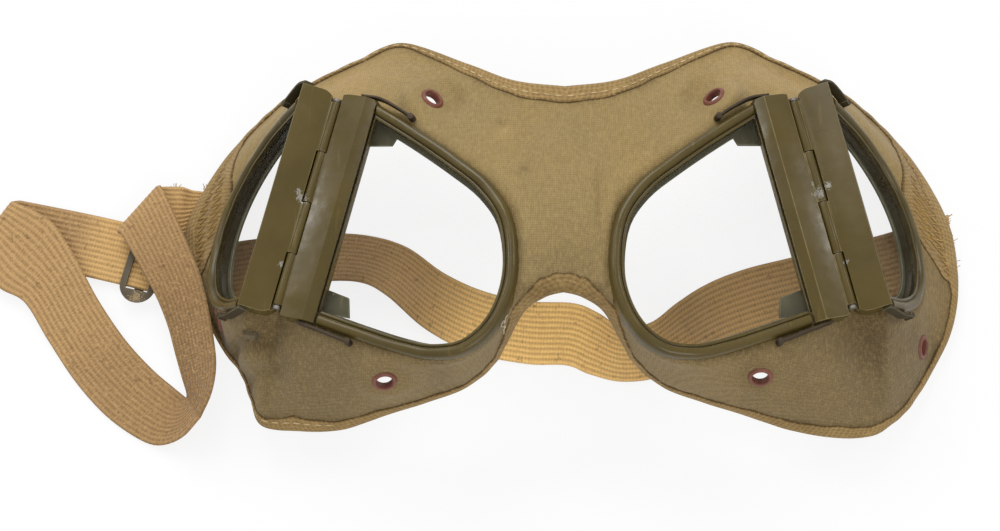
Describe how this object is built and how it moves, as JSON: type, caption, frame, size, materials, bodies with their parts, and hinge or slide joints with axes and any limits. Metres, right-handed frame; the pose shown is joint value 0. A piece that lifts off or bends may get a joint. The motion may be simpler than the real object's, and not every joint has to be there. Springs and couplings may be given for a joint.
{
  "type": "goggles",
  "caption": "Folding goggles: cloth face mask with flat lens panes in sheet-metal frames, side panes on pinned hinges, vent eyelets and an elastic head strap with a slider.",
  "frame": {"origin": "on the table under the middle of the nose, where the mask's symmetry plane meets the plane the goggles lie on", "axes": "+X towards the wearer's left, +Y up towards the forehead, +Z forwards, away from the wearer's face; the goggles lie on their back"},
  "size_m": [0.2616, 0.104, 0.049],
  "materials": {
    "mask_cloth": "matte weave",
    "lining": "soft brushed",
    "binding_tape": "herringbone tape",
    "eyelet": "satin paint",
    "strap_elastic": "ribbed elastic webbing",
    "slider_metal": "worn dark paint",
    "frame_paint": "gloss olive paint",
    "retainer_metal": "satin grey-green paint",
    "clip_steel": "blackened",
    "pin_steel": "dull",
    "lens": "clear, flat"
  },
  "bodies": {
    "goggles": {"mask_cloth": "mask_cloth", "mask_lining": "lining", "forehead_binding": "binding_tape", "nose_binding": "binding_tape", "mask_eyelets": "eyelet", "strap": "strap_elastic", "left_front_frame": "frame_paint", "left_front_retainer": "retainer_metal", "left_front_pane": "lens", "left_front_bar": "frame_paint", "left_front_clips": "clip_steel", "left_hinge_pin": "pin_steel", "right_front_frame": "frame_paint", "right_front_retainer": "retainer_metal", "right_front_pane": "lens", "right_front_bar": "frame_paint", "right_front_clips": "clip_steel", "right_hinge_pin": "pin_steel"},
    "left_side": {"left_side_frame": "frame_paint", "left_side_retainer": "retainer_metal", "left_side_pane": "lens", "left_side_bar": "frame_paint", "left_side_clips": "clip_steel", "left_wing_cloth": "mask_cloth", "left_wing_lining": "lining", "left_wing_binding": "binding_tape", "left_wing_eyelet": "eyelet", "left_strap_end": "strap_elastic"},
    "right_side": {"right_side_frame": "frame_paint", "right_side_retainer": "retainer_metal", "right_side_pane": "lens", "right_side_bar": "frame_paint", "right_side_clips": "clip_steel", "right_wing_cloth": "mask_cloth", "right_wing_lining": "lining", "right_wing_binding": "binding_tape", "right_wing_eyelet": "eyelet", "right_strap_end": "strap_elastic"},
    "slider": {"strap_slider": "slider_metal"}
  },
  "joints": [
    {"name": "left_hinge", "type": "hinge", "parent": "goggles", "child": "left_side", "pos_m": [0.065, -0.0033, 0.037], "axis": [0.2416, -0.969, -0.0523], "range_deg": [0, 67]},
    {"name": "right_hinge", "type": "hinge", "parent": "goggles", "child": "right_side", "pos_m": [-0.065, -0.0033, 0.037], "axis": [0.2416, 0.969, 0.0523], "range_deg": [0, 67]},
    {"name": "slider_slide", "type": "slide", "parent": "goggles", "child": "slider", "axis": [-0.9718, 0.2356, 0], "range_m": [0, 0.008]}
  ]
}
